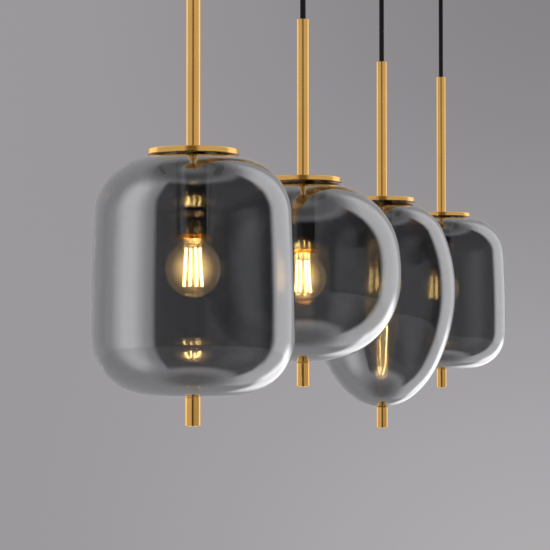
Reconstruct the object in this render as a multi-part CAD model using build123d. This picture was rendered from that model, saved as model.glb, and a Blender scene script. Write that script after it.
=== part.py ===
from build123d import *
import os
from math import atan2, cos, degrees, hypot, pi, radians, sin, sqrt, tan

# A linear ceiling pendant: four smoked glass shades of three blown forms hang in a row under one
# long canopy. Millimetres, +Z up, the row along X. The origin is the middle of the canopy bracket's
# face on the ceiling, so everything lies below Z = 0.

# ---------------------------------------------------------------- driving dimensions, in mm

# The row
SPACING = 300.0  # from one pendant's axis to the next
DROP = 330.0  # from the ceiling down to the undersides of the cap discs
TUBE_LENGTHS = [150.0, 150.0, 150.0, 171.0]  # the brass tube that stands on each cap disc
SHADE_FORMS = ["barrel", "round", "egg", "barrel"]

# Clearances
SLIP = 0.05  # radial, between a turned spigot and its hole
LOOSE = 0.3  # between parts that move past each other, and round a cord
SWING = 20.0  # degrees that a cord may swing in its grip, to either side

# The canopy under the ceiling, and its bracket
CANOPY_OVERHANG = 50.0  # past the outer pendants' axes
CANOPY_WIDTH = 60.0
CANOPY_HEIGHT = 28.0
CANOPY_WALL = 1.2
CANOPY_CORNER = 9.0
CANOPY_EDGE = 2.5
BRACKET_LENGTH = 700.0
BRACKET_WIDTH = 30.0
BRACKET_THICKNESS = 2.0
BRACKET_CORNER = 4.0
SCREW_SLOT_SPACING = 400.0
SCREW_SLOT_LENGTH = 20.0
SCREW_SLOT_RADIUS = 2.6
MAINS_HOLE_RADIUS = 6.0
MAINS_HOLE_X = 60.0
EARTH_SCREW_X = -60.0
EARTH_SCREW_RADIUS = 2.0
EARTH_SCREW_LENGTH = 9.0
EARTH_HEAD_RADIUS = 3.8
EARTH_HEAD_HEIGHT = 2.6
STUD_RADIUS = 2.0
STUD_SPACING = 600.0
STUD_PAST_CANOPY = 4.5
LOCK_NUT_FLATS = 7.0
LOCK_NUT_HEIGHT = 3.2
DOME_NUT_RADIUS = 4.6
DOME_NUT_HEIGHT = 7.5

# The cords, their grips in the canopy and their leads inside it
CORD_RADIUS = 2.6
GRIP_RADIUS = 6.5
GRIP_HEIGHT = 12.0
GRIP_NECK_RADIUS = 4.9
GRIP_NECK_PAST_NUT = 2.0
GRIP_NUT_FLATS = 14.0
GRIP_NUT_HEIGHT = 4.0
GRIP_EDGE = 1.0
CORD_TOP_DEPTH = 3.0  # how far up inside the grip's mouth the cord bends
LEAD_DEPTH = 11.0  # the leads' middle below the ceiling
LEAD_BEND = 10.0
LEAD_ASIDE = 8.5  # how far beside the row's line the leads run
LEAD_SHIFT_LENGTH = 70.0  # along the row, while they move aside
LEAD_SHIFT_RADIUS = 120.0
TERMINAL_LENGTH = 36.0
TERMINAL_WIDTH = 20.0
TERMINAL_HEIGHT = 15.0
TERMINAL_POLES = 3
TERMINAL_SCREW_RADIUS = 1.8
TERMINAL_SCREW_DEPTH = 3.0
TERMINAL_ENTRY_DEPTH = 6.0

# The tube, its plug and the cap disc
TUBE_RADIUS = 5.75
TUBE_WALL = 1.0
TUBE_NECK_RADIUS = 4.9
TUBE_NECK_BORE = 3.4
TUBE_NECK_LENGTH = 17.0
PLUG_LENGTH = 10.0
CAP_RADIUS = 36.5
CAP_THICKNESS = 5.0
CAP_EDGE = 0.9

# The spring clips that hold the shade up under the cap disc
CLIP_COUNT = 3
CLIP_TURN = 90.0  # degrees round the axis to the first one
CLIP_THICKNESS = 0.8
CLIP_WIDTH = 9.0
CLIP_PLATE_RADIUS = 18.0
CLIP_HOOK = 2.1  # how far each spring bulges out under the shade's lip
CLIP_NECK_GAP = 1.7  # from the shade's mouth in to the spring's neck
CLIP_TAIL_REACH = 2.5  # from the mouth in to the spring's free end
CLIP_HOOK_DROP = 3.2  # from the lip's underside down to the bulge
CLIP_LENGTH = 13.0

# The lamp holder: sleeve, insulating body and ring
SLEEVE_RADIUS = 13.5
SLEEVE_WALL = 0.8
SLEEVE_TOP = 1.5
SLEEVE_LENGTH = 62.0
HOLDER_RADIUS = 11.3
HOLDER_HUB_RADIUS = 8.0
HOLDER_HUB_LENGTH = 9.0
HOLDER_SHORT = 2.0  # from the holder's end up from the sleeve's end
RING_FLANGE = 3.4
RING_BORE = 10.2
RING_COLLAR_LENGTH = 10.0
RING_COLLAR_WALL = 1.0
SOCKET_RADIUS = 7.3
BULB_INSIDE = 4.3  # from the holder's end up to where the bulb's glass stands on its metal cap

# The bulb: a 45 mm golf ball lamp on a 14 mm screw cap
BULB_RADIUS = 22.5
BULB_WALL = 0.8
BULB_DROP = 112.2  # from the cap disc's underside down to the lamp's lowest point
BULB_NECK_RADIUS = 8.2
BULB_NECK_BEND = 8.0
BULB_CAP_RADIUS = 6.95
BULB_CAP_LENGTH = 16.0
BULB_TIP_RADIUS = 3.0
BULB_TIP_LENGTH = 2.5
BULB_SKIRT_WALL = 0.5
BULB_SKIRT_LENGTH = 3.6
STEM_RADIUS = 2.2
STEM_FLARE_RADIUS = 6.6
STEM_FLARE_LENGTH = 7.0
STEM_LENGTH = 15.0
FILAMENT_COUNT = 4
FILAMENT_TURN = -50.0  # degrees round the axis to the first one
FILAMENT_RADIUS = 0.8
FILAMENT_LENGTH = 30.0
FILAMENT_TOP_OUT = 5.6
FILAMENT_BOTTOM_OUT = 7.6
FILAMENT_TOP_BELOW_STEM = 2.0
WIRE_RADIUS = 0.35

# The finial under each shade
FINIAL_RADIUS = 6.25
FINIAL_LENGTH = 23.0
FINIAL_EDGE = 0.5
FINIAL_SHANK_RADIUS = 2.5
FINIAL_SHANK_PAST_NUT = 1.5
FINIAL_NUT_RADIUS = 5.5
FINIAL_NUT_HEIGHT = 4.0

# The shades. Each half of an outline is three arcs: one about the axis at the pole, one about the
# widest circle's level, and a tighter or flatter one that joins them.
SHADE_WALL = 2.5
MOUTH_RADIUS = 27.0
LIP_ROUNDING = 1.0
BASE_HOLE_RADIUS = 3.2


class ShadeForm:
    """One blown form: its widest radius and where that lies, its height, and its arcs' radii."""

    def __init__(self, widest, widest_depth, height, upper_arcs, lower_arcs):
        self.widest = widest
        self.widest_depth = widest_depth
        self.height = height
        self.upper_arcs = upper_arcs  # (crown, shoulder, flank)
        self.lower_arcs = lower_arcs  # (base, bowl, flank)


FORMS = {
    "barrel": ShadeForm(80.6, 125.0, 190.2, (300.0, 47.2, 1240.0), (417.0, 45.8, 1240.0)),
    "round": ShadeForm(92.6, 84.5, 169.0, (150.0, 74.0, 145.0), (150.0, 74.0, 145.0)),
    "egg": ShadeForm(80.3, 96.0, 224.0, (100.0, 51.7, 162.8), (53.8, 98.9, 181.8)),
}

# ---------------------------------------------------------------- places that follow from them

PENDANT_COUNT = len(SHADE_FORMS)
PENDANT_X = [SPACING * (i - (PENDANT_COUNT - 1) / 2) for i in range(PENDANT_COUNT)]
CANOPY_LENGTH = PENDANT_X[-1] - PENDANT_X[0] + 2 * CANOPY_OVERHANG
CANOPY_FLOOR = CANOPY_WALL - CANOPY_HEIGHT  # the canopy's inner face
GRIP_MOUTH = -CANOPY_HEIGHT - GRIP_HEIGHT
CORD_TOP = GRIP_MOUTH + CORD_TOP_DEPTH
CAP_UNDERSIDE = -DROP
CAP_TOP = CAP_UNDERSIDE + CAP_THICKNESS
SLEEVE_START = CAP_UNDERSIDE - CLIP_THICKNESS
SLEEVE_END = SLEEVE_START - SLEEVE_LENGTH
HOLDER_START = SLEEVE_START - SLEEVE_TOP
HOLDER_END = SLEEVE_END + HOLDER_SHORT
LIP_TOP = CAP_UNDERSIDE - LOOSE
BULB_CENTRE = CAP_UNDERSIDE - BULB_DROP + BULB_RADIUS
CAP_FACE = HOLDER_END + BULB_INSIDE


def node_file(name, *solids):
    """Writes one node, which may hold several separate solids."""
    shape = solids[0] if len(solids) == 1 else Compound(children=list(solids))
    shape.label = name
    export_step(shape, f"parts/{name}.step")


def turned(profile):
    """The solid that a face drawn in radius and height makes when it turns about Z."""
    return revolve(Plane.XZ * profile, Axis.Z)


def ring_profile(inner, outer, low, high):
    """A rectangle in radius and height."""
    return Pos((inner + outer) / 2, (low + high) / 2) * Rectangle(outer - inner, high - low)


def rod(radius, low, high, x=0.0, y=0.0):
    """An upright cylinder between two heights."""
    return Pos(x, y, low) * extrude(Circle(radius), high - low)


def strut(start, end, radius):
    """A round wire from one point to another."""
    line = Line(start, end)
    return extrude(Plane(origin=start, z_dir=line % 0) * Circle(radius), line.length)


def hex_nut(flats, bore, low, high, x=0.0):
    """A six-sided nut across its flats."""
    outline = RegularPolygon(flats / 2, 6, major_radius=False) - Circle(bore)
    return Pos(x, 0, low) * extrude(outline, high - low)


# ---------------------------------------------------------------- the shades' outlines


def sagitta(radius, reach):
    """How far an arc of this radius falls away at that distance from its pole."""
    return radius - sqrt(radius * radius - reach * reach)


def quarter_outline(widest, height, arcs):
    """Three tangent arcs from the pole at (0, height) out to (widest, 0)."""
    pole_radius, joining_radius, flank_radius = arcs
    pole_centre = Vector(0, height - pole_radius)
    flank_centre = Vector(widest - flank_radius, 0)
    from_pole = abs(pole_radius - joining_radius)
    from_flank = abs(flank_radius - joining_radius)
    between = flank_centre - pole_centre
    along = (between.length**2 + from_pole**2 - from_flank**2) / (2 * between.length)
    aside = sqrt(from_pole**2 - along**2)
    ahead = between.normalized()
    across = Vector(-ahead.Y, ahead.X)
    turn = -1 if joining_radius < pole_radius and between.X * ahead.Y > 0 else 1
    options = [pole_centre + ahead * along + across * aside * s for s in (turn, -turn)]

    def joints(centre):
        toward_pole = (centre - pole_centre) * (1 if pole_radius > joining_radius else -1)
        toward_flank = (centre - flank_centre) * (1 if flank_radius > joining_radius else -1)
        first = pole_centre + toward_pole.normalized() * pole_radius
        last = flank_centre + toward_flank.normalized() * flank_radius
        return first, last

    for centre in options:
        first, last = joints(centre)
        if 0 < first.X < last.X and first.Y > last.Y > 0:
            break
    start_angle = degrees(atan2(last.Y - centre.Y, last.X - centre.X))
    end_angle = degrees(atan2(first.Y - centre.Y, first.X - centre.X))
    flank_angle = degrees(atan2(last.Y, last.X - flank_centre.X))
    pole_angle = degrees(atan2(first.Y - pole_centre.Y, first.X))
    return [
        CenterArc(flank_centre, flank_radius, 0, flank_angle),
        CenterArc(centre, joining_radius, start_angle, end_angle - start_angle),
        CenterArc(pole_centre, pole_radius, pole_angle, 90 - pole_angle),
    ]


def filled_outline(form, inset):
    """The face between the axis and a shade's outline, drawn inset by a wall."""
    crown = form.widest_depth + sagitta(form.upper_arcs[0], MOUTH_RADIUS)
    upper = quarter_outline(
        form.widest - inset, crown - inset, [radius - inset for radius in form.upper_arcs]
    )
    lower = quarter_outline(
        form.widest - inset,
        form.height - form.widest_depth - inset,
        [radius - inset for radius in form.lower_arcs],
    )
    lower = [mirror(arc, about=Plane.XZ) for arc in lower]
    axis_line = Line(upper[-1] @ 1, lower[-1] @ 1)
    return make_face(Curve() + upper + lower + axis_line)


def shade(form):
    """A closed shade, blown in one wall, with its mouth ground open and a hole for the finial."""
    wall = filled_outline(form, 0) - filled_outline(form, SHADE_WALL)
    above = form.widest_depth * 2
    wall -= ring_profile(0, MOUTH_RADIUS, 0, above)
    wall -= ring_profile(0, BASE_HOLE_RADIUS, -2 * form.height, 0)
    lip = wall.vertices().filter_by(lambda v: abs(v.X - MOUTH_RADIUS) < 0.01)
    wall = fillet(lip, LIP_ROUNDING)
    return Pos(0, 0, LIP_TOP - form.widest_depth) * turned(wall)


def shade_base(form):
    """The height of a shade's lowest point."""
    return LIP_TOP - form.height


def finial(form):
    """The pin under the shade, with its shank through the glass, and its nut inside."""
    top = shade_base(form)
    inner_base = form.lower_arcs[0] - SHADE_WALL
    nut_low = top + SHADE_WALL + sagitta(inner_base, FINIAL_NUT_RADIUS) + LOOSE / 3
    nut_high = nut_low + FINIAL_NUT_HEIGHT
    pin = rod(FINIAL_RADIUS, top - FINIAL_LENGTH, top)
    pin = chamfer(pin.edges().filter_by(GeomType.CIRCLE), FINIAL_EDGE)
    pin += rod(FINIAL_SHANK_RADIUS, top, nut_high + FINIAL_SHANK_PAST_NUT)
    nut = rod(FINIAL_NUT_RADIUS, nut_low, nut_high) - rod(
        FINIAL_SHANK_RADIUS + SLIP, nut_low, nut_high
    )
    nut = chamfer(nut.edges().group_by(Axis.Z)[-1].sort_by(SortBy.LENGTH)[-1], FINIAL_EDGE)
    return pin, nut


# ---------------------------------------------------------------- what hangs on each cord


def tube(length):
    """The brass tube: a plain length on the cap disc, over a threaded neck that goes through it."""
    tube_top = CAP_TOP + length
    profile = ring_profile(TUBE_RADIUS - TUBE_WALL, TUBE_RADIUS, CAP_TOP, tube_top)
    profile += ring_profile(
        TUBE_NECK_BORE, TUBE_NECK_RADIUS, CAP_TOP - TUBE_NECK_LENGTH, CAP_TOP + TUBE_WALL
    )
    return turned(profile)


def tube_plug(length):
    """The insert in the tube's top that holds the cord."""
    tube_top = CAP_TOP + length
    outer = TUBE_RADIUS - TUBE_WALL - SLIP
    return turned(ring_profile(CORD_RADIUS + LOOSE, outer, tube_top - PLUG_LENGTH, tube_top))


def cap_disc():
    """The flat disc that closes the shade's mouth."""
    hole = TUBE_NECK_RADIUS + SLIP
    disc = turned(ring_profile(hole, CAP_RADIUS, CAP_UNDERSIDE, CAP_TOP))
    rims = disc.edges().filter_by(GeomType.CIRCLE).filter_by(lambda edge: edge.radius > hole)
    return fillet(rims, CAP_EDGE)


def spring_clips():
    """One stamping: a washer under the cap disc, with leaf springs that hook under the lip."""
    middle = CLIP_THICKNESS / 2
    neck = MOUTH_RADIUS - CLIP_NECK_GAP
    hook_depth = LOOSE + SHADE_WALL + CLIP_HOOK_DROP
    leaf_line = Polyline(
        (CLIP_PLATE_RADIUS - 2 * CLIP_THICKNESS, -middle),
        (neck - 2 * CLIP_THICKNESS, -middle),
        (neck, -middle - 2 * CLIP_THICKNESS),
        (MOUTH_RADIUS + CLIP_HOOK, -hook_depth),
        (MOUTH_RADIUS - CLIP_TAIL_REACH, -CLIP_LENGTH),
    )
    leaf = extrude(Plane.XZ * trace(leaf_line, CLIP_THICKNESS), CLIP_WIDTH / 2, both=True)
    plate = extrude(Circle(CLIP_PLATE_RADIUS) - Circle(TUBE_NECK_RADIUS + SLIP), -CLIP_THICKNESS)
    for i in range(CLIP_COUNT):
        plate += Rot(0, 0, CLIP_TURN + 360 / CLIP_COUNT * i) * leaf
    return Pos(0, 0, CAP_UNDERSIDE) * plate


def holder_sleeve():
    """The dark metal sleeve round the lamp holder."""
    profile = ring_profile(SLEEVE_RADIUS - SLEEVE_WALL, SLEEVE_RADIUS, SLEEVE_END, SLEEVE_START)
    hole = TUBE_NECK_RADIUS + SLIP
    profile += ring_profile(hole, SLEEVE_RADIUS, SLEEVE_START - SLEEVE_TOP, SLEEVE_START)
    sleeve = turned(profile)
    top_rim = sleeve.edges().group_by(Axis.Z)[-1].sort_by(SortBy.LENGTH)[-1]
    return fillet(top_rim, SLEEVE_WALL)


def lamp_holder():
    """The insulating body, with a hub on the tube's neck and the screw socket in its end."""
    hub_end = HOLDER_START - HOLDER_HUB_LENGTH
    profile = ring_profile(0, HOLDER_HUB_RADIUS, hub_end, HOLDER_START)
    profile += ring_profile(0, HOLDER_RADIUS, HOLDER_END, hub_end)
    profile -= ring_profile(
        0, TUBE_NECK_RADIUS + SLIP, CAP_TOP - TUBE_NECK_LENGTH - LOOSE, HOLDER_START
    )
    contact = CAP_FACE + BULB_CAP_LENGTH + BULB_TIP_LENGTH
    profile -= ring_profile(0, SOCKET_RADIUS, HOLDER_END, contact)
    mouth = BULB_NECK_RADIUS + SLIP + BULB_SKIRT_WALL + LOOSE
    profile -= ring_profile(0, mouth, HOLDER_END, CAP_FACE + BULB_SKIRT_WALL + LOOSE)
    return turned(profile)


def holder_ring():
    """The brass ring that screws over the holder's end and carries the sleeve."""
    collar_inner = HOLDER_RADIUS + SLIP
    profile = ring_profile(RING_BORE, SLEEVE_RADIUS, SLEEVE_END - RING_FLANGE, SLEEVE_END)
    profile += ring_profile(
        collar_inner, collar_inner + RING_COLLAR_WALL, SLEEVE_END, SLEEVE_END + RING_COLLAR_LENGTH
    )
    ring = turned(profile)
    return fillet(ring.edges().group_by(Axis.Z)[0], SLEEVE_WALL)


# ---------------------------------------------------------------- the bulb


def bulb_outline(inset):
    """The face between the axis and the bulb's glass: a ball, a hollow bend and a neck."""
    ball = BULB_RADIUS - inset
    bend = BULB_NECK_BEND + inset
    neck = BULB_NECK_RADIUS - inset
    bend_x = neck + bend
    bend_z = sqrt((ball + bend) ** 2 - bend_x**2)
    meeting = degrees(atan2(bend_z, bend_x))
    neck_top = CAP_FACE - BULB_CENTRE
    ball_arc = CenterArc((0, 0), ball, -90, 90 + meeting)
    bend_arc = CenterArc((bend_x, bend_z), bend, 180, meeting)
    neck_line = Line((neck, bend_z), (neck, neck_top))
    top_line = Line((neck, neck_top), (0, neck_top))
    axis_line = Line((0, neck_top), (0, -ball))
    return make_face(Curve() + [ball_arc, bend_arc, neck_line, top_line, axis_line])


def bulb_glass():
    """The clear envelope, open at its neck, which the cap closes."""
    return Pos(0, 0, BULB_CENTRE) * turned(bulb_outline(0) - bulb_outline(BULB_WALL))


def bulb_cap():
    """The metal screw cap: shell, contact tip and the skirt round the glass neck."""
    skirt_inner = BULB_NECK_RADIUS + SLIP
    skirt_outer = skirt_inner + BULB_SKIRT_WALL
    shell_top = CAP_FACE + BULB_CAP_LENGTH
    profile = ring_profile(0, BULB_CAP_RADIUS, CAP_FACE, shell_top)
    profile += ring_profile(0, skirt_outer, CAP_FACE, CAP_FACE + BULB_SKIRT_WALL)
    skirt_end = CAP_FACE - BULB_SKIRT_LENGTH
    profile += ring_profile(skirt_inner, skirt_outer, skirt_end, CAP_FACE + BULB_SKIRT_WALL)
    profile += ring_profile(0, BULB_TIP_RADIUS, shell_top, shell_top + BULB_TIP_LENGTH)
    return turned(profile)


def bulb_filament():
    """The glass stem on the cap, with its wires and the filament rods that they hold."""
    stem_end = CAP_FACE - STEM_LENGTH
    flare_end = CAP_FACE - STEM_FLARE_LENGTH
    rod_top = stem_end - FILAMENT_TOP_BELOW_STEM
    rod_end = rod_top - FILAMENT_LENGTH
    flare = Polyline(
        (0, CAP_FACE), (STEM_FLARE_RADIUS, CAP_FACE), (STEM_RADIUS, flare_end), (0, flare_end), close=True
    )
    mount = turned(make_face(flare)) + rod(STEM_RADIUS, stem_end, flare_end)
    mount += rod(WIRE_RADIUS, rod_end - WIRE_RADIUS, stem_end)
    for i in range(FILAMENT_COUNT):
        turn = radians(FILAMENT_TURN + 360 / FILAMENT_COUNT * i)
        aside = Vector(cos(turn), sin(turn), 0)
        top = aside * FILAMENT_TOP_OUT + Vector(0, 0, rod_top)
        end = aside * FILAMENT_BOTTOM_OUT + Vector(0, 0, rod_end)
        mount += strut(top, end, FILAMENT_RADIUS)
        mount += strut(Vector(0, 0, stem_end + STEM_RADIUS), top, WIRE_RADIUS)
        mount += strut(Vector(0, 0, rod_end), end, WIRE_RADIUS)
    return mount


# ---------------------------------------------------------------- the cords


def free_cord(length):
    """The taut cord, from its bend in the canopy's grip down through the tube's plug."""
    plug_end = CAP_TOP + length - PLUG_LENGTH
    return rod(CORD_RADIUS, plug_end, CORD_TOP)


def grip_throat():
    """The height where a grip's flared mouth has narrowed to its bore."""
    lift = CORD_RADIUS * sin(radians(SWING))
    return CORD_TOP + lift + LOOSE


def cord_grip():
    """A gland in the canopy: its body, whose mouth flares to let the cord swing, and its nut."""
    neck_top = CANOPY_FLOOR + GRIP_NUT_HEIGHT + GRIP_NECK_PAST_NUT
    bore = CORD_RADIUS + LOOSE
    lean = radians(SWING)
    mouth = CORD_RADIUS / cos(lean) + CORD_TOP_DEPTH * tan(lean) + LOOSE
    body = rod(GRIP_RADIUS, GRIP_MOUTH, -CANOPY_HEIGHT)
    body = fillet(body.edges().group_by(Axis.Z)[0], GRIP_EDGE)
    body += rod(GRIP_NECK_RADIUS, -CANOPY_HEIGHT, neck_top)
    flare = Polyline(
        (0, GRIP_MOUTH), (mouth, GRIP_MOUTH), (bore, grip_throat()), (0, grip_throat()), close=True
    )
    body -= turned(make_face(flare))
    body -= rod(bore, GRIP_MOUTH, neck_top)
    nut = hex_nut(
        GRIP_NUT_FLATS, GRIP_NECK_RADIUS + SLIP, CANOPY_FLOOR, CANOPY_FLOOR + GRIP_NUT_HEIGHT
    )
    return body, nut


def canopy_lead(x):
    """A cord's end inside the canopy, from its grip to the terminal block."""
    outer = abs(x) > SPACING
    toward = -1 if x > 0 else 1
    aside = LEAD_ASIDE if outer else -LEAD_ASIDE
    block_face = -toward * TERMINAL_WIDTH / 2
    run = FilletPolyline(
        (x, 0, grip_throat() + LOOSE / 3),
        (x, 0, -LEAD_DEPTH),
        (x + toward * LEAD_SHIFT_LENGTH, aside, -LEAD_DEPTH),
        (block_face, aside, -LEAD_DEPTH),
        radius=[LEAD_BEND, LEAD_SHIFT_RADIUS],
    )
    section = Plane(origin=run @ 0, z_dir=run % 0) * Circle(CORD_RADIUS)
    lead = sweep(section, path=run)
    share = lead.volume / (pi * CORD_RADIUS**2 * run.length)
    print(f"lead at {x:g}: {run.length:.1f} mm long, {share:.4f} of its section times its length")
    return lead


# ---------------------------------------------------------------- the canopy


def canopy_cover():
    """The long tray under the ceiling, open at the top, with holes for the grips and studs."""
    outline = RectangleRounded(CANOPY_LENGTH, CANOPY_WIDTH, CANOPY_CORNER)
    body = extrude(outline, -CANOPY_HEIGHT)
    body = fillet(body.edges().group_by(Axis.Z)[0], CANOPY_EDGE)
    inner = RectangleRounded(
        CANOPY_LENGTH - 2 * CANOPY_WALL, CANOPY_WIDTH - 2 * CANOPY_WALL, CANOPY_CORNER - CANOPY_WALL
    )
    body -= extrude(inner, CANOPY_FLOOR)
    for x in PENDANT_X:
        body -= rod(GRIP_NECK_RADIUS + SLIP, -CANOPY_HEIGHT, CANOPY_FLOOR, x)
    for x in (-STUD_SPACING / 2, STUD_SPACING / 2):
        body -= rod(STUD_RADIUS + LOOSE, -CANOPY_HEIGHT, CANOPY_FLOOR, x)
    return body


def ceiling_bracket():
    """The steel strip on the ceiling: screw slots, the mains cable's hole and the stud holes."""
    strip = extrude(RectangleRounded(BRACKET_LENGTH, BRACKET_WIDTH, BRACKET_CORNER), -BRACKET_THICKNESS)
    slot = extrude(SlotOverall(SCREW_SLOT_LENGTH, 2 * SCREW_SLOT_RADIUS), -BRACKET_THICKNESS)
    for side in (-1, 1):
        strip -= Pos(side * SCREW_SLOT_SPACING / 2, 0) * slot
        strip -= rod(STUD_RADIUS + SLIP, -BRACKET_THICKNESS, 0, side * STUD_SPACING / 2)
    strip -= rod(MAINS_HOLE_RADIUS, -BRACKET_THICKNESS, 0, MAINS_HOLE_X)
    strip -= rod(EARTH_SCREW_RADIUS + SLIP, -BRACKET_THICKNESS, 0, EARTH_SCREW_X)
    return strip


def canopy_fixing(x):
    """A stud from the bracket with its lock nut, and the dome nut under the canopy."""
    stud_end = -CANOPY_HEIGHT - STUD_PAST_CANOPY
    stud = rod(STUD_RADIUS, stud_end, 0, x)
    nut_end = -BRACKET_THICKNESS - LOCK_NUT_HEIGHT
    lock_nut = hex_nut(LOCK_NUT_FLATS, STUD_RADIUS + SLIP, nut_end, -BRACKET_THICKNESS, x)
    skirt = DOME_NUT_HEIGHT - DOME_NUT_RADIUS
    dome = rod(DOME_NUT_RADIUS, -CANOPY_HEIGHT - skirt, -CANOPY_HEIGHT, x)
    ball = Pos(x, 0, -CANOPY_HEIGHT - skirt) * Sphere(DOME_NUT_RADIUS)
    dome += ball & rod(DOME_NUT_RADIUS, -CANOPY_HEIGHT - DOME_NUT_HEIGHT, -CANOPY_HEIGHT, x)
    dome -= rod(STUD_RADIUS + SLIP, stud_end - LOOSE, -CANOPY_HEIGHT, x)
    return stud, lock_nut, dome


def terminal_block():
    """The block that joins the four leads to the mains, with its clamping screws' holes."""
    top = -BRACKET_THICKNESS
    block = Pos(0, 0, top) * extrude(Rectangle(TERMINAL_WIDTH, TERMINAL_LENGTH), -TERMINAL_HEIGHT)
    block = fillet(block.edges().filter_by(Axis.Z), 1.0)
    low = top - TERMINAL_HEIGHT
    pitch = TERMINAL_LENGTH / TERMINAL_POLES
    for i in range(TERMINAL_POLES):
        y = pitch * (i - (TERMINAL_POLES - 1) / 2)
        for x in (-TERMINAL_WIDTH / 4, TERMINAL_WIDTH / 4):
            block -= rod(TERMINAL_SCREW_RADIUS, low, low + TERMINAL_SCREW_DEPTH, x, y)
    return block


def earth_screw():
    """The earthing screw under the bracket."""
    head_top = -BRACKET_THICKNESS
    head = rod(EARTH_HEAD_RADIUS, head_top - EARTH_HEAD_HEIGHT, head_top, EARTH_SCREW_X)
    head = fillet(head.edges().group_by(Axis.Z)[0], EARTH_SCREW_RADIUS / 2)
    return head + rod(EARTH_SCREW_RADIUS, head_top, 0, EARTH_SCREW_X)


def write_canopy():
    """The pieces that stay on the ceiling."""
    node_file("ceiling_bracket", ceiling_bracket())
    node_file("canopy_cover", canopy_cover())
    fixings = [canopy_fixing(side * STUD_SPACING / 2) for side in (-1, 1)]
    node_file("canopy_fixings", *[piece for fixing in fixings for piece in fixing])
    grips = [[Pos(x, 0, 0) * piece for piece in cord_grip()] for x in PENDANT_X]
    node_file("cord_grips", *[piece for grip in grips for piece in grip])
    node_file("terminal_block", terminal_block())
    node_file("earth_screw", earth_screw())
    node_file("canopy_leads", *[canopy_lead(x) for x in PENDANT_X])


def write_pendant(number, x, length, form):
    """One pendant's pieces, from its cord to its finial."""
    at = Pos(x, 0, 0)
    pieces = {
        "cord": [free_cord(length)],
        "tube": [tube(length)],
        "tube_plug": [tube_plug(length)],
        "cap_disc": [cap_disc()],
        "spring_clips": [spring_clips()],
        "holder_sleeve": [holder_sleeve()],
        "holder_ring": [holder_ring()],
        "lamp_holder": [lamp_holder()],
        "bulb_cap": [bulb_cap()],
        "bulb_glass": [bulb_glass()],
        "bulb_filament": [bulb_filament()],
        "shade": [shade(form)],
        "finial": list(finial(form)),
    }
    for name, solids in pieces.items():
        node_file(f"{name}_{number}", *[at * solid for solid in solids])


os.makedirs("parts", exist_ok=True)
write_canopy()
for i in range(PENDANT_COUNT):
    write_pendant(i + 1, PENDANT_X[i], TUBE_LENGTHS[i], FORMS[SHADE_FORMS[i]])
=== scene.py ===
import math

import bmesh
import bpy
from bpy.props import FloatProperty, FloatVectorProperty, IntProperty, PointerProperty
from mathutils import Matrix, Vector


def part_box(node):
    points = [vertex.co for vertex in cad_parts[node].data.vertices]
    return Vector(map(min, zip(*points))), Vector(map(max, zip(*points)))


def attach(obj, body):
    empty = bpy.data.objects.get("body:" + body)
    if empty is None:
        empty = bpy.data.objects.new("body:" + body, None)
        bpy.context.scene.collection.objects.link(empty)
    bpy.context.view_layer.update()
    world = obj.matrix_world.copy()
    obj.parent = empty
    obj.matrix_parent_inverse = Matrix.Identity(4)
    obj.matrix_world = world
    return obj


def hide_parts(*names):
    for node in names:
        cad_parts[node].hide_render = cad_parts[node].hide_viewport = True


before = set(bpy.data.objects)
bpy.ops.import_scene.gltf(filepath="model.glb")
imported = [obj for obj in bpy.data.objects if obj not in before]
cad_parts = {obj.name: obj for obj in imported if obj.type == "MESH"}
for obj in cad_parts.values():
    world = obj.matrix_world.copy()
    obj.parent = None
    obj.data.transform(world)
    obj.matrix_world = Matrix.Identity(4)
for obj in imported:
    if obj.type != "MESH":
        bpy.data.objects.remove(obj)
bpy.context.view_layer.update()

bl_info = {
    "name": "Linear Cluster Pendant",
    "version": (1, 0, 0),
    "blender": (4, 5, 0),
    "location": "View3D > Sidebar > Pendant",
    "description": "Cords, lamps, finishes and a grey studio for a row of smoked glass pendants",
    "category": "Object",
}

MM = 0.001
PENDANTS = (1, 2, 3, 4)

# The cords' routes, as in the part's source: the cord's foot at its plug's lower end, its middle, and
# where it bends in the canopy's grip.
CORD_ROUTES = {
    1: ((-0.450, 0, -0.185), (-0.450, 0, -0.111), (-0.450, 0, -0.037)),
    2: ((-0.150, 0, -0.185), (-0.150, 0, -0.111), (-0.150, 0, -0.037)),
    3: ((0.150, 0, -0.185), (0.150, 0, -0.111), (0.150, 0, -0.037)),
    4: ((0.450, 0, -0.164), (0.450, 0, -0.1005), (0.450, 0, -0.037)),
}

# The flared glass stem on a lamp's cap, as radius and height from its top, in mm.
STEM_OUTLINE = (
    (0.0, 0.0), (6.6, 0.0), (6.2, -1.2), (4.6, -3.6), (3.2, -5.8), (2.4, -8.0), (2.1, -11.0),
    (2.3, -13.2), (1.9, -14.6), (0.9, -15.0), (0.0, -15.0),
)
STEM_STEPS = 32
ROD_FOOT_RISE = 0.5 * MM  # from the filament's lowest point up to the rods' feet
ROD_ROUNDING = 0.3 * MM
WIRE_HUB_DEPTH = 14.0 * MM  # from the stem's top down to where the wires meet
MIDDLE_WIRE_RADIUS = 0.35 * MM
OUTER_WIRE_RADIUS = 0.3 * MM
SHARP_ANGLE = math.radians(38)  # edges that bend more than this stay sharp

BLACK_PLASTIC = (0.014, 0.014, 0.015)
THREADS = 8  # of the woven cord, in each direction

LIGHT_BOUNCES = 48
GLOSSY_BOUNCES = 8
FLOOR_RADIUS = 6.0
FLOOR_SEGMENTS = 96


# ---------------------------------------------------------------- sizes and colours


def length_property(name, description, default):
    return FloatProperty(
        name=name, description=description, default=default, subtype="DISTANCE", unit="LENGTH"
    )


def colour_property(name, description, default):
    return FloatVectorProperty(
        name=name, description=description, default=default, size=3, min=0, max=1, subtype="COLOR"
    )


def share_property(name, description, default):
    return FloatProperty(
        name=name, description=description, default=default, min=0, max=1, subtype="FACTOR"
    )


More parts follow.
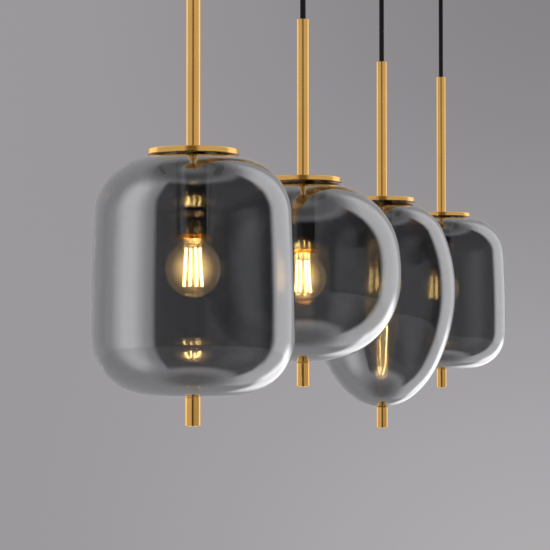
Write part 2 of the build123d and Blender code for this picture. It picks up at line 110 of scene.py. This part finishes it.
class PendantBrassSettings(bpy.types.PropertyGroup):
    colour: colour_property("Brass", "Colour of the lacquered brass", (0.88, 0.51, 0.145))
    roughness: share_property("Roughness", "How far the brass blurs what it reflects", 0.17)


class PendantGlassSettings(bpy.types.PropertyGroup):
    tint: share_property("Tint", "How much light a shade's wall lets through its two faces", 0.68)
    mirror: share_property("Mirror", "How much of each face is a half mirror", 0.35)
    edge_mirror: share_property("Edge mirror", "How much more is where the wall is seen edge on", 0.1)


class PendantCordSettings(bpy.types.PropertyGroup):
    diameter: length_property("Diameter", "Diameter of the woven cord", 5.2 * MM)
    braid_pitch: length_property("Braid pitch", "How far one thread climbs in a turn", 9.0 * MM)
    colour: colour_property("Colour", "Colour of the woven cover", (0.003, 0.003, 0.0032))


class PendantLampSettings(bpy.types.PropertyGroup):
    glow: colour_property("Glow", "Colour of the lit filament rods", (1.0, 0.62, 0.21))
    strength: FloatProperty(
        name="Strength", description="Brightness of the filament rods", default=170.0, min=0
    )
    rods: IntProperty(name="Rods", description="Number of filament rods in a lamp", default=4, min=1)
    rod_turn: FloatProperty(
        name="Rod turn", description="Angle of the first rod", default=math.radians(-50), subtype="ANGLE"
    )
    rod_top_out: length_property("Rod tops", "How far the rods' tops stand from the axis", 5.6 * MM)
    rod_foot_out: length_property("Rod feet", "How far the rods' feet stand from the axis", 7.6 * MM)
    # Strength of the painted glow on the lamp's glass, as a share of the rods' colour.
    painted_glow: share_property("Haze", "How much of the rods' light scatters in the lamp's glass", 0.8)
    rod_radius: length_property("Rod radius", "Radius of a filament rod", 0.95 * MM)
    rod_length: length_property("Rod length", "Length of a filament rod", 30.0 * MM)


class PendantStudioSettings(bpy.types.PropertyGroup):
    backdrop: colour_property("Backdrop", "The grey behind the pendants", (0.33, 0.318, 0.329))
    pool: share_property("Pool", "How much brighter the backdrop is low on the right", 0.3)
    fall: share_property("Fall", "How much darker the backdrop is high on the right", 0.28)
    floor_drop: length_property("Floor", "Depth of the floor below the ceiling", 2.2)


SETTINGS = {
    "pendant_brass": PendantBrassSettings,
    "pendant_glass": PendantGlassSettings,
    "pendant_cord": PendantCordSettings,
    "pendant_lamp": PendantLampSettings,
    "pendant_studio": PendantStudioSettings,
}


# ---------------------------------------------------------------- shader expressions


class Value:
    """A socket that turns sums written in Python into Math nodes."""

    def __init__(self, shader, socket):
        self.shader = shader
        self.socket = socket

    def _maths(self, operation, *terms):
        return self.shader.value("ShaderNodeMath", {"operation": operation}, dict(enumerate(terms)))

    def __add__(self, other):
        return self._maths("ADD", self, other)

    def __radd__(self, other):
        return self._maths("ADD", other, self)

    def __sub__(self, other):
        return self._maths("SUBTRACT", self, other)

    def __rsub__(self, other):
        return self._maths("SUBTRACT", other, self)

    def __mul__(self, other):
        return self._maths("MULTIPLY", self, other)

    def __rmul__(self, other):
        return self._maths("MULTIPLY", other, self)

    def __truediv__(self, other):
        return self._maths("DIVIDE", self, other)

    def __pow__(self, other):
        return self._maths("POWER", self, other)

    def sine(self):
        return self._maths("SINE", self)

    def absolute(self):
        return self._maths("ABSOLUTE", self)

    def least(self, other):
        return self._maths("MINIMUM", self, other)

    def most(self, other):
        return self._maths("MAXIMUM", self, other)

    def angle_to(self, other):
        return self._maths("ARCTAN2", self, other)

    def rise(self, start, end):
        """A soft step from 0 at start to 1 at end."""
        settings = {"interpolation_type": "SMOOTHSTEP"}
        return self.shader.value("ShaderNodeMapRange", settings, {0: self, 1: start, 2: end})

    def between(self, start, end, soft):
        """1 inside a range, falling softly to 0 outside it."""
        return self.rise(start - soft, start + soft) * (1 - self.rise(end - soft, end + soft))


class Shader:
    """A node tree that is filled with one call per node."""

    def __init__(self, tree):
        self.tree = tree
        tree.nodes.clear()

    def node(self, kind, settings=None, sockets=None):
        made = self.tree.nodes.new(kind)
        for name, setting in (settings or {}).items():
            setattr(made, name, setting)
        for name, given in (sockets or {}).items():
            socket = made.inputs[name]
            if isinstance(given, Value):
                self.tree.links.new(given.socket, socket)
            elif isinstance(given, bpy.types.NodeSocket):
                self.tree.links.new(given, socket)
            elif socket.type == "RGBA" and len(given) == 3:
                socket.default_value = (*given, 1)
            else:
                socket.default_value = given
        return made

    def value(self, kind, settings=None, sockets=None, output=0):
        return Value(self, self.node(kind, settings, sockets).outputs[output])

    def mixed(self, share, first, second):
        """A colour between two, by a value."""
        settings = {"data_type": "RGBA"}
        return self.value("ShaderNodeMix", settings, {0: share, 6: first, 7: second}, output=2)

    def object_place(self, centre=(0, 0, 0), scale=(1, 1, 1)):
        """Object coordinates counted from a point."""
        place = self.value("ShaderNodeTexCoord", output="Object")
        moved = tuple(-c * s for c, s in zip(centre, scale))
        settings = {"vector_type": "POINT"}
        return self.value("ShaderNodeMapping", settings, {0: place, 1: moved, 3: scale})

    def parts(self, vector):
        split = self.node("ShaderNodeSeparateXYZ", None, {0: vector})
        return [Value(self, out) for out in split.outputs]

    def noise(self, place, scale, detail=3.0, roughness=0.5):
        sockets = {"Vector": place, "Scale": scale, "Detail": detail, "Roughness": roughness}
        return self.value("ShaderNodeTexNoise", None, sockets)

    def bump(self, height, distance, strength=1.0):
        sockets = {"Height": height, "Distance": distance, "Strength": strength}
        return self.value("ShaderNodeBump", None, sockets)


def new_finish(name, build, **options):
    """A material whose Principled shader takes the sockets that build returns."""
    material = bpy.data.materials.new(name)
    material.use_nodes = True
    shader = Shader(material.node_tree)
    sockets = build(shader, **options)
    surface = shader.node("ShaderNodeBsdfPrincipled", None, sockets)
    shader.node("ShaderNodeOutputMaterial", None, {"Surface": surface.outputs[0]})
    return material


def node_centre(name):
    low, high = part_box(name)
    return (low + high) / 2


def dress(node, material):
    """Gives a CAD node its finish."""
    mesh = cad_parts[node].data
    mesh.materials.clear()
    mesh.materials.append(material)


# ---------------------------------------------------------------- finishes


def turned_brass(shader, centre, along, settings):
    """Lacquered brass with fine turning marks across an axis, or drawing marks along it."""
    stretch = (1, 1, 0.02) if along else (0.04, 0.04, 1)
    place = shader.object_place(centre, stretch)
    marks = shader.noise(place, scale=1800.0, detail=2.0, roughness=0.6)
    cloud = shader.noise(shader.object_place(centre), scale=30.0, detail=2.0)
    deep = tuple(c * k for c, k in zip(settings.colour, (0.93, 0.88, 0.8)))
    return {
        "Base Color": shader.mixed(cloud.rise(0.3, 0.7) * 0.5, tuple(settings.colour), deep),
        "Metallic": 1.0,
        "Roughness": settings.roughness - 0.02 + marks * 0.02 + cloud * 0.02,
        "Normal": shader.bump(marks, distance=0.000003, strength=0.06),
        "Coat Weight": 0.3,
        "Coat Roughness": 0.08,
    }


def smoked_glass(shader, settings):
    """Blown glass with a smoked half mirror on its faces, through which light is bent."""
    facing = shader.value("ShaderNodeLayerWeight", None, {"Blend": 0.5}, output="Facing")
    tint = settings.tint
    return {
        "Base Color": (tint, tint, tint * 1.01),
        "Metallic": settings.mirror + (facing ** 5.0) * settings.edge_mirror,
        "Roughness": 0.0,
        "IOR": 1.5,
        "Transmission Weight": 1.0,
    }


def clear_glass(shader, settings):
    """The lamp's thin clear envelope, with a painted warm glow of the rods' light on it."""
    facing = shader.value("ShaderNodeLayerWeight", None, {"Blend": 0.5}, output="Facing")
    clear = 0.05 + (facing ** 3.0) * 0.6
    # Painted glow of the rods' light on the lamp's glass, brightest where the glass faces the camera and
    # raised where the glass is most see-through.
    painted_glow = (0.05 + (1 - facing) ** 7.0) / clear
    warm = [c * settings.painted_glow * painted_glow for c in settings.glow]
    return {
        "Base Color": (0.95, 0.93, 0.88),
        "Metallic": 1.0,
        "Roughness": 0.0,
        "Alpha": clear,
        "Emission Color": shader.value("ShaderNodeCombineColor", None, dict(enumerate(warm))),
        "Emission Strength": 1.0,
    }


def stem_glass(shader):
    facing = shader.value("ShaderNodeLayerWeight", None, {"Blend": 0.5}, output="Facing")
    return {
        "Base Color": (0.95, 0.9, 0.82),
        "Metallic": 1.0,
        "Roughness": 0.05,
        "Alpha": 0.15 + (facing ** 2.0) * 0.6,
    }


def lit_rod(shader, settings):
    """A filament rod: a coated strip that glows, a little dimmer at its grain."""
    grain = shader.noise(shader.object_place(), scale=900.0, detail=2.0)
    warm = tuple(settings.glow)
    pale = tuple(min(1, c * 1.25 + 0.05) for c in warm)
    return {
        "Base Color": (0.9, 0.6, 0.25),
        "Roughness": 0.5,
        "Emission Color": shader.mixed(grain, warm, pale),
        "Emission Strength": settings.strength,
    }


def black_chrome(shader, centre):
    """The lamp holder's polished sleeve, as sharp a mirror as the glass."""
    cloud = shader.noise(shader.object_place(centre), scale=40.0, detail=2.0)
    return {
        "Base Color": shader.mixed(cloud, (0.4, 0.4, 0.41), (0.46, 0.46, 0.47)),
        "Metallic": 1.0,
        "Roughness": 0.0,
    }


def plated_metal(shader, centre, colour, roughness):
    place = shader.object_place(centre, (1, 1, 0.05))
    marks = shader.noise(place, scale=1500.0, detail=2.0)
    return {
        "Base Color": shader.mixed(marks * 0.3, colour, tuple(c * 0.8 for c in colour)),
        "Metallic": 1.0,
        "Roughness": roughness + marks * 0.06,
        "Normal": shader.bump(marks, distance=0.00001, strength=0.3),
    }


def moulded_plastic(shader, colour):
    grain = shader.noise(shader.object_place(), scale=1400.0, detail=2.0)
    return {
        "Base Color": shader.mixed(grain * 0.2, colour, tuple(min(1, c * 1.3 + 0.004) for c in colour)),
        "Roughness": 0.42 + grain * 0.12,
        "Normal": shader.bump(grain, distance=0.00003, strength=0.3),
    }


def woven_cord(shader, centre, settings):
    """Two sets of threads that climb round the cord in opposite directions, over and under."""
    x, y, z = shader.parts(shader.object_place(centre))
    turn = y.angle_to(x)
    climb = z * (2 * math.pi / settings.braid_pitch)
    right = ((turn + climb) * THREADS / 2).sine()
    left = ((turn - climb) * THREADS / 2).sine()
    weave = right.absolute().most(left.absolute())
    over = (right * left).rise(-0.2, 0.2)
    height = weave * 0.7 + over * 0.3
    # Painted light and shade: the threads' crests are painted lighter and the grooves between them darker,
    # following the same height as the bump.
    dark = tuple(settings.colour)
    painted_crest_light = tuple(c * 4 + 0.002 for c in dark)
    return {
        "Base Color": shader.mixed(height, dark, painted_crest_light),
        "Roughness": 0.72 + height * 0.12,
        "Normal": shader.bump(height, distance=0.0003, strength=0.8),
        "Specular IOR Level": 0.2,
    }


# ---------------------------------------------------------------- the cords


def new_object(name, data):
    made = bpy.data.objects.new(name, data)
    bpy.context.scene.collection.objects.link(made)
    return made


def cord_curve(name, points, radius):
    """A round cord on a smooth line through given points."""
    curve = bpy.data.curves.new(name, "CURVE")
    curve.dimensions = "3D"
    curve.bevel_depth = radius
    curve.bevel_resolution = 8
    curve.use_fill_caps = True
    curve.resolution_u = 16
    spline = curve.splines.new("NURBS")
    spline.points.add(len(points) - 1)
    for place, point in zip(points, spline.points):
        point.co = (*place, 1)
    spline.order_u = 3
    spline.use_endpoint_u = True
    return new_object(name, curve)


class PENDANT_OT_cords(bpy.types.Operator):
    """Hang the woven cords between the canopy's grips and the tubes"""

    bl_idname = "pendant.cords"
    bl_label = "Cords"

    def execute(self, context):
        settings = context.scene.pendant_cord
        for number in PENDANTS:
            route = CORD_ROUTES[number]
            cord = cord_curve(f"woven_cord_{number}", route, settings.diameter / 2)
            middle = Vector(route[1])
            finish = new_finish(f"black_braid_{number}", woven_cord, centre=middle, settings=settings)
            cord.data.materials.append(finish)
            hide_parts(f"cord_{number}")
            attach(cord, f"hanging_cord_{number}")
        return {"FINISHED"}


# ---------------------------------------------------------------- the lamps


def mesh_object(name, build, material, smooth=True, **options):
    """A finished piece from what build adds to a bmesh, its faces pointing outwards."""
    bm = bmesh.new()
    build(bm, **options)
    bmesh.ops.remove_doubles(bm, verts=bm.verts, dist=1e-7)
    bmesh.ops.recalc_face_normals(bm, faces=bm.faces)
    mesh = bpy.data.meshes.new(name)
    bm.to_mesh(mesh)
    bm.free()
    made = new_object(name, mesh)
    made.data.materials.append(material)
    if smooth:
        mesh.shade_smooth()
        mesh.set_sharp_from_angle(angle=SHARP_ANGLE)
    return made


def spun(bm, profile, centre, steps):
    """Turns a line of (radius, height) points about the upright axis through centre."""
    origin = Vector(centre)
    verts = [bm.verts.new(origin + Vector((radius, 0, height))) for radius, height in profile]
    edges = [bm.edges.new(pair) for pair in zip(verts, verts[1:])]
    bmesh.ops.spin(
        bm,
        geom=verts + edges,
        cent=origin,
        axis=(0, 0, 1),
        angle=2 * math.pi,
        steps=steps,
        use_merge=True,
    )


def bar(bm, start, end, radius, segments=12, rounding=0.0):
    """A round bar between two points, with softened ends."""
    start, end = Vector(start), Vector(end)
    line = end - start
    turn = line.to_track_quat("Z", "Y").to_matrix().to_4x4()
    place = Matrix.Translation((start + end) / 2) @ turn
    made = bmesh.ops.create_cone(
        bm,
        cap_ends=True,
        segments=segments,
        radius1=radius,
        radius2=radius,
        depth=line.length,
        matrix=place,
    )
    if rounding:
        rims = {e for v in made["verts"] for e in v.link_edges if len(e.link_faces) == 2}
        rims = [e for e in rims if max(len(f.verts) for f in e.link_faces) > 4]
        bmesh.ops.bevel(
            bm, geom=rims, offset=rounding, segments=3, profile=0.5, affect="EDGES", material=-1
        )


def rod_ends(number, settings):
    """The upper and lower end of each filament rod in a lamp."""
    low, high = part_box(f"bulb_filament_{number}")
    axis = (low + high) / 2
    bottom = low.z + ROD_FOOT_RISE
    ends = []
    for i in range(settings.rods):
        turn = settings.rod_turn + 2 * math.pi * i / settings.rods
        aside = Vector((math.cos(turn), math.sin(turn), 0))
        top = Vector((axis.x, axis.y, bottom + settings.rod_length)) + aside * settings.rod_top_out
        foot = Vector((axis.x, axis.y, bottom)) + aside * settings.rod_foot_out
        ends.append((top, foot))
    return ends


def add_rods(bm, ends, radius):
    for top, foot in ends:
        bar(bm, top, foot, radius, rounding=ROD_ROUNDING)


def add_stem(bm, stem_top):
    outline = [(radius * MM, height * MM) for radius, height in STEM_OUTLINE]
    spun(bm, outline, stem_top, steps=STEM_STEPS)


def add_wires(bm, ends, stem_top):
    """One wire down the middle from the hub in the stem, and two to each rod."""
    hub = stem_top + Vector((0, 0, -WIRE_HUB_DEPTH))
    base = Vector((stem_top.x, stem_top.y, ends[0][1].z))
    bar(bm, base, hub, MIDDLE_WIRE_RADIUS, segments=8)
    for top, foot in ends:
        bar(bm, hub, top, OUTER_WIRE_RADIUS, segments=8)
        bar(bm, base, foot, OUTER_WIRE_RADIUS, segments=8)


class PENDANT_OT_lamps(bpy.types.Operator):
    """Build the filament rods, their stem and wires, and finish the lamps' glass and caps"""

    bl_idname = "pendant.lamps"
    bl_label = "Lamps"

    def execute(self, context):
        settings = context.scene.pendant_lamp
        rods_finish = new_finish("lit_filament", lit_rod, settings=settings)
        stem_finish = new_finish("stem_glass", stem_glass)
        envelope = new_finish("clear_envelope", clear_glass, settings=settings)
        for number in PENDANTS:
            body = f"bulb_{number}"
            node = f"bulb_filament_{number}"
            low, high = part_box(node)
            stem_top = Vector(((low.x + high.x) / 2, (low.y + high.y) / 2, high.z))
            ends = rod_ends(number, settings)
            steel = new_finish(
                f"support_wire_{number}",
                plated_metal,
                centre=stem_top,
                colour=(0.6, 0.57, 0.52),
                roughness=0.3,
            )
            rods = mesh_object(
                f"filament_rods_{number}", add_rods, rods_finish, ends=ends, radius=settings.rod_radius
            )
            stem = mesh_object(f"lamp_stem_{number}", add_stem, stem_finish, stem_top=stem_top)
            wires = mesh_object(
                f"support_wires_{number}", add_wires, steel, ends=ends, stem_top=stem_top
            )
            for piece in (rods, stem, wires):
                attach(piece, body)
                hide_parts(node)
            dress(f"bulb_glass_{number}", envelope)
            cap = new_finish(
                f"nickel_cap_{number}",
                plated_metal,
                centre=stem_top,
                colour=(0.62, 0.6, 0.56),
                roughness=0.25,
            )
            dress(f"bulb_cap_{number}", cap)
        return {"FINISHED"}


# ---------------------------------------------------------------- the carried-over pieces


# The brass pieces of a pendant, and whether the marks run along each one's axis.
BRASS_PIECES = {"tube": True, "cap_disc": False, "holder_ring": False, "finial": True}


class PENDANT_OT_brass(bpy.types.Operator):
    """Finish the brass tubes, discs, rings and finials"""

    bl_idname = "pendant.brass"
    bl_label = "Brass"

    def execute(self, context):
        settings = context.scene.pendant_brass
        for number in PENDANTS:
            for piece, along in BRASS_PIECES.items():
                node = f"{piece}_{number}"
                finish = new_finish(
                    f"brass_{node}", turned_brass, centre=node_centre(node), along=along, settings=settings
                )
                dress(node, finish)
        return {"FINISHED"}


class PENDANT_OT_shades(bpy.types.Operator):
    """Finish the smoked glass shades"""

    bl_idname = "pendant.shades"
    bl_label = "Shades"

    def execute(self, context):
        finish = new_finish("smoked_glass", smoked_glass, settings=context.scene.pendant_glass)
        for number in PENDANTS:
            dress(f"shade_{number}", finish)
        return {"FINISHED"}


class PENDANT_OT_holders(bpy.types.Operator):
    """Finish the lamp holders, their sleeves, the spring clips and the tubes' plugs"""

    bl_idname = "pendant.holders"
    bl_label = "Holders"

    def execute(self, context):
        black = new_finish("black_moulding", moulded_plastic, colour=BLACK_PLASTIC)
        for number in PENDANTS:
            centre = node_centre(f"holder_sleeve_{number}")
            chrome = new_finish(f"black_chrome_{number}", black_chrome, centre=centre)
            dress(f"holder_sleeve_{number}", chrome)
            steel = new_finish(
                f"spring_steel_{number}",
                plated_metal,
                centre=centre,
                colour=(0.16, 0.155, 0.15),
                roughness=0.3,
            )
            dress(f"spring_clips_{number}", steel)
            dress(f"lamp_holder_{number}", black)
            dress(f"tube_plug_{number}", black)
        return {"FINISHED"}


class PENDANT_OT_canopy(bpy.types.Operator):
    """Finish the canopy, its bracket, grips and fixings, and what is wired inside it"""

    bl_idname = "pendant.canopy"
    bl_label = "Canopy"

    def execute(self, context):
        brass = context.scene.pendant_brass
        for node in ("canopy_cover", "cord_grips", "canopy_fixings"):
            centre = node_centre(node)
            finish = new_finish(f"brass_{node}", turned_brass, centre=centre, along=False, settings=brass)
            dress(node, finish)
        centre = node_centre("ceiling_bracket")
        zinc = new_finish("zinc_plate", plated_metal, centre=centre, colour=(0.6, 0.6, 0.58), roughness=0.35)
        dress("ceiling_bracket", zinc)
        dress("earth_screw", zinc)
        white = new_finish("white_moulding", moulded_plastic, colour=(0.8, 0.79, 0.76))
        dress("terminal_block", white)
        dress("canopy_leads", new_finish("lead_cover", moulded_plastic, colour=BLACK_PLASTIC))
        return {"FINISHED"}


# ---------------------------------------------------------------- the studio

VIEW_AHEAD = Vector((0.9528, 0.3037, 0.0))
CAMERA_PLACE = (-1.8186, -0.5041, -0.4615)
CAMERA_RISE = math.radians(1.46)
CAMERA_LENS = 120.83


class Patch:
    """A soft-edged patch of the studio, in degrees: from, to and softness, in bearing and in height."""

    def __init__(self, bearings, heights, strength):
        self.bearings = bearings
        self.heights = heights
        self.strength = strength

    def over(self, bearing, height):
        return bearing.between(*self.bearings) * height.between(*self.heights)


# What the glass shows. The dark room dims by its strength, and the other patches add theirs.
GLASS_WALLS = 0.42
DARK_ROOM = Patch((-42.0, 104.0, 4.0), (-60.0, 58.0, 6.0), 0.98)
LEFT_STRIP = Patch((-92.0, -58.0, 14.0), (-52.0, 48.0, 12.0), 0.66)
RIGHT_PANEL = Patch((108.0, 150.0, 6.0), (-60.0, 50.0, 10.0), 0.5)
LOW_LAMP = Patch((138.0, 170.0, 6.0), (-38.0, -8.0, 5.0), 1.4)
FLOOR_FADE, FLOOR_DIMMING = (-84.0, -60.0), 0.7
CEILING_FADE, CEILING_DIMMING = (50.0, 70.0), 0.68
ZENITH_FADE, ZENITH_LIGHT = (74.0, 88.0), 0.16
GLASS_BLUE = 1.02

# What the metal shows. The bright sides and what is behind are the same to the left and to the right.
METAL_WALLS = 0.62
BRIGHT_SIDES, SIDES_LIGHT = (100.0, 138.0, 8.0), 0.62
BEHIND_FADE, BEHIND_DIMMING = (138.0, 158.0), 0.25
CAMERA_GAP, GAP_DIMMING, LOW_GAP_DIMMING = (-15.0, 13.0, 4.0), 0.46, 0.12
RIGHT_WALL, LOW_RIGHT_DIMMING = (14.0, 100.0, 6.0), 0.2
LOW_FADE = (-3.0, 3.0)
GAP_GREEN_LOSS = 0.15
GAP_BLUE_LOSS = 0.45

BACKDROP_ACROSS = (-0.16, 0.16)  # sines of the bearings just past the picture's left and right edge
BACKDROP_HEIGHTS = (-9.0, 11.0)  # degrees above level, just past the picture's foot and top
DIFFUSE_LIGHT = (0.85, 0.85, 0.86)  # the even light on what has no gloss


def add_camera():
    camera = bpy.data.cameras.new("camera")
    camera.lens = CAMERA_LENS
    camera.sensor_width = 36.0
    camera.clip_start = 0.05
    camera.clip_end = 60.0
    placed = new_object("camera", camera)
    ahead = VIEW_AHEAD * math.cos(CAMERA_RISE) + Vector((0, 0, math.sin(CAMERA_RISE)))
    placed.rotation_euler = ahead.to_track_quat("-Z", "Y").to_euler()
    placed.location = CAMERA_PLACE
    bpy.context.scene.camera = placed


def glass_studio(bearing, height):
    """A dark room in front, a strip to the left, a panel and a low lamp to the right and behind."""
    near = DARK_ROOM.over(bearing, height)
    under = 1 - height.rise(*FLOOR_FADE)
    above = height.rise(*CEILING_FADE)
    strip = LEFT_STRIP.over(bearing, height)
    panel = RIGHT_PANEL.over(bearing, height)
    low_lamp = LOW_LAMP.over(bearing, height)
    lit = GLASS_WALLS + strip * LEFT_STRIP.strength + panel * RIGHT_PANEL.strength
    lit = (lit + low_lamp * LOW_LAMP.strength) * (1 - near * DARK_ROOM.strength)
    dimmed = lit * (1 - under * FLOOR_DIMMING) * (1 - above * CEILING_DIMMING)
    return dimmed + height.rise(*ZENITH_FADE) * ZENITH_LIGHT


def metal_studio(bearing, height, gap):
    """Even walls, brighter far to both sides, with the darker gap that the camera looks through."""
    sides = bearing.absolute().between(*BRIGHT_SIDES)
    behind = bearing.absolute().rise(*BEHIND_FADE)
    low = 1 - height.rise(*LOW_FADE)
    right_wall = bearing.between(*RIGHT_WALL)
    walls = METAL_WALLS + sides * SIDES_LIGHT - behind * BEHIND_DIMMING
    walls = walls - gap * (GAP_DIMMING + low * LOW_GAP_DIMMING)
    return walls - low * right_wall * LOW_RIGHT_DIMMING


def studio_world(settings):
    """A grey backdrop for the camera, and one studio each for sharp mirrors and for blurred ones."""
    world = bpy.data.worlds.new("studio")
    world.use_nodes = True
    bpy.context.scene.world = world
    shader = Shader(world.node_tree)
    direction = shader.value("ShaderNodeTexCoord", output="Generated")
    x, y, z = shader.parts(direction)
    front = -VIEW_AHEAD
    rightward = Vector((VIEW_AHEAD.y, -VIEW_AHEAD.x, 0))
    toward = x * front.x + y * front.y
    aside = x * rightward.x + y * rightward.y
    bearing = aside.angle_to(toward) * (180 / math.pi)  # 0 towards the camera, positive to its right
    level = (x * x + y * y) ** 0.5
    height = z.angle_to(level) * (180 / math.pi)

    # Painted light and shade on the backdrop: a pool of light low on the right and darker high on the right.
    across = (aside / level).rise(*BACKDROP_ACROSS)
    up = height.rise(*BACKDROP_HEIGHTS)
    pool = 1.0 + across * (1 - up) * settings.pool - across * up * settings.fall
    channels = [channel * pool for channel in settings.backdrop]
    backdrop = shader.value("ShaderNodeCombineColor", None, dict(enumerate(channels)))

    # Only the glass and the black chrome have no roughness, and only they send singular rays.
    path = shader.node("ShaderNodeLightPath")
    is_camera = Value(shader, path.outputs["Is Camera Ray"])
    is_bent = Value(shader, path.outputs["Is Transmission Ray"])
    mirrored = Value(shader, path.outputs["Glossy Depth"]).least(1.0)
    is_sharp = Value(shader, path.outputs["Is Singular Ray"])
    gap = bearing.between(*CAMERA_GAP)
    glass = glass_studio(bearing, height) * is_sharp
    metal = metal_studio(bearing, height, gap) * (1 - is_sharp)
    channels = {
        0: glass + metal,
        1: glass + metal * (1 - gap * GAP_GREEN_LOSS),
        2: glass * GLASS_BLUE + metal * (1 - gap * GAP_BLUE_LOSS),
    }
    gloss = shader.value("ShaderNodeCombineColor", None, channels)
    unmirrored = shader.mixed(is_camera.most(is_bent), DIFFUSE_LIGHT, backdrop)
    colour = shader.mixed(mirrored, unmirrored, gloss)
    light = shader.node("ShaderNodeBackground", None, {"Color": colour, "Strength": 1.0})
    shader.node("ShaderNodeOutputWorld", None, {"Surface": light.outputs[0]})


def add_floor(bm, depth):
    place = Matrix.Translation((0, 0, -depth))
    bmesh.ops.create_circle(
        bm, cap_ends=True, segments=FLOOR_SEGMENTS, radius=FLOOR_RADIUS, matrix=place
    )


def floor_finish(shader, settings):
    grain = shader.noise(shader.object_place(), scale=6.0)
    low = tuple(settings.backdrop)
    return {
        "Base Color": shader.mixed(grain * 0.2, low, tuple(c * 0.96 for c in low)),
        "Roughness": 0.9,
        "Specular IOR Level": 0.0,
    }


class PENDANT_OT_stage(bpy.types.Operator):
    """Set up the camera, the grey studio and the floor"""

    bl_idname = "pendant.stage"
    bl_label = "Stage"

    def execute(self, context):
        settings = context.scene.pendant_studio
        add_camera()
        studio_world(settings)
        finish = new_finish("floor", floor_finish, settings=settings)
        floor = mesh_object("floor", add_floor, finish, smooth=False, depth=settings.floor_drop)
        floor.visible_glossy = False
        context.scene.view_settings.view_transform = "Standard"
        for kind in ("max_bounces", "transmission_bounces", "transparent_max_bounces"):
            setattr(context.scene.cycles, kind, LIGHT_BOUNCES)
        context.scene.cycles.glossy_bounces = GLOSSY_BOUNCES
        return {"FINISHED"}


STEPS = (
    PENDANT_OT_stage,
    PENDANT_OT_cords,
    PENDANT_OT_lamps,
    PENDANT_OT_brass,
    PENDANT_OT_shades,
    PENDANT_OT_holders,
    PENDANT_OT_canopy,
)


class PENDANT_PT_sidebar(bpy.types.Panel):
    """Lists the settings and the steps that build the pendant"""

    bl_label = "Cluster Pendant"
    bl_idname = "PENDANT_PT_sidebar"
    bl_space_type = "VIEW_3D"
    bl_region_type = "UI"
    bl_category = "Pendant"

    def draw(self, context):
        for name, group in SETTINGS.items():
            box = self.layout.box()
            for field in group.__annotations__:
                box.prop(getattr(context.scene, name), field)
        for step in STEPS:
            self.layout.operator(step.bl_idname)


CLASSES = (*SETTINGS.values(), *STEPS, PENDANT_PT_sidebar)


def register():
    for cls in CLASSES:
        bpy.utils.register_class(cls)
    for name, group in SETTINGS.items():
        setattr(bpy.types.Scene, name, PointerProperty(type=group))


def unregister():
    for name in SETTINGS:
        delattr(bpy.types.Scene, name)
    for cls in reversed(CLASSES):
        bpy.utils.unregister_class(cls)


def main():
    register()
    bpy.ops.pendant.stage()
    bpy.ops.pendant.cords()
    bpy.ops.pendant.lamps()
    bpy.ops.pendant.brass()
    bpy.ops.pendant.shades()
    bpy.ops.pendant.holders()
    bpy.ops.pendant.canopy()


if __name__ == "__main__":
    main()
